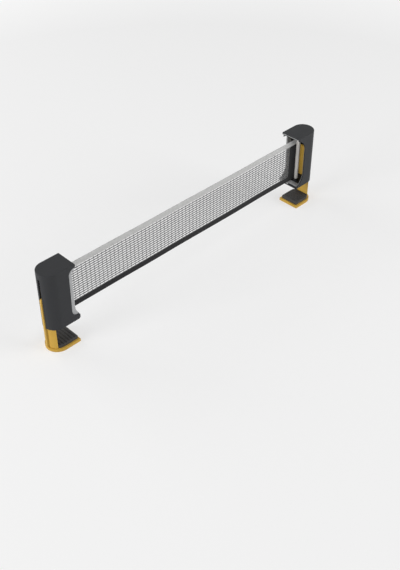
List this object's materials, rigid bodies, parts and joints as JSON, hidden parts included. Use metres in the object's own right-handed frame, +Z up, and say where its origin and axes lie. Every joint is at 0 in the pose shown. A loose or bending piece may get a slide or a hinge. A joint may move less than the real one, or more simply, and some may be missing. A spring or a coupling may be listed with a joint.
{
  "type": "table tennis net clamp",
  "caption": "Retractable table tennis net held between two end posts, each a housing with a sliding sprung jaw that clamps a table's edge, a spool in one post and a net rod in the other.",
  "frame": {"origin": "midway between the two posts, level with the undersides of the jaws' feet", "axes": "+X along the net from the post with the spool to the post with the net rod, +Z up, +Y across the net"},
  "size_m": [0.7302, 0.049, 0.1768],
  "materials": {
    "housing_plastic": "fine moulded texture, dark grey",
    "liner_plastic": "smooth moulded, light grey",
    "jaw_plastic": "smooth moulded, mustard yellow",
    "grip_rubber": "moulded with cross grooves",
    "pad_rubber": "thin flat sheet",
    "spring_steel": "drawn wire",
    "screw_steel": "zinc plated",
    "bush_plastic": "natural white moulding",
    "spool_plastic": "extruded tube, dark grey",
    "rod_plastic": "smooth moulded, light grey",
    "white_tape": "woven tape, off white",
    "black_tape": "woven tape, black",
    "net_thread": "knitted thread, light grey"
  },
  "bodies": {
    "left_post": {"left_case_shell": "housing_plastic", "left_base_plate": "housing_plastic", "left_base_screws": "screw_steel", "left_table_pad": "pad_rubber", "left_mouth_liner": "liner_plastic", "left_jaw_springs": "spring_steel", "spool_axle": "spring_steel", "spring_collar": "bush_plastic"},
    "left_jaw": {"left_sliding_jaw": "jaw_plastic", "left_grip_pad": "grip_rubber"},
    "spool": {"spool_tube": "spool_plastic", "spool_lower_bush": "bush_plastic", "spool_upper_bush": "bush_plastic", "spool_spring": "spring_steel", "net_roll": "net_thread"},
    "right_post": {"right_case_shell": "housing_plastic", "right_base_plate": "housing_plastic", "right_base_screws": "screw_steel", "right_table_pad": "pad_rubber", "right_mouth_liner": "liner_plastic", "right_jaw_springs": "spring_steel", "net_end_rod": "rod_plastic", "net_mesh": "net_thread", "net_top_tape": "white_tape", "net_bottom_tape": "black_tape", "net_end_hem": "black_tape"},
    "right_jaw": {"right_sliding_jaw": "jaw_plastic", "right_grip_pad": "grip_rubber"}
  },
  "joints": [
    {"name": "left_jaw_slide", "type": "slide", "parent": "left_post", "child": "left_jaw", "axis": [0, 0, 1], "range_m": [-0.02, 0.039], "deforming": ["left_jaw_springs"]},
    {"name": "right_jaw_slide", "type": "slide", "parent": "right_post", "child": "right_jaw", "axis": [0, 0, 1], "range_m": [-0.02, 0.039], "deforming": ["right_jaw_springs"]},
    {"name": "net_pull", "type": "slide", "parent": "left_post", "child": "right_post", "axis": [1, 0, 0], "range_m": [-0.5995, 0], "deforming": ["net_mesh", "net_top_tape", "net_bottom_tape"]},
    {"name": "spool_spin", "type": "hinge", "parent": "left_post", "child": "spool", "pos_m": [-0.328, 0.0089, 0.1145], "axis": [0, 0, 1], "range_deg": [-3800, 0]}
  ],
  "couplings": [
    {"joint": "spool_spin", "follows": "net_pull", "rad_per_m": 110}
  ]
}
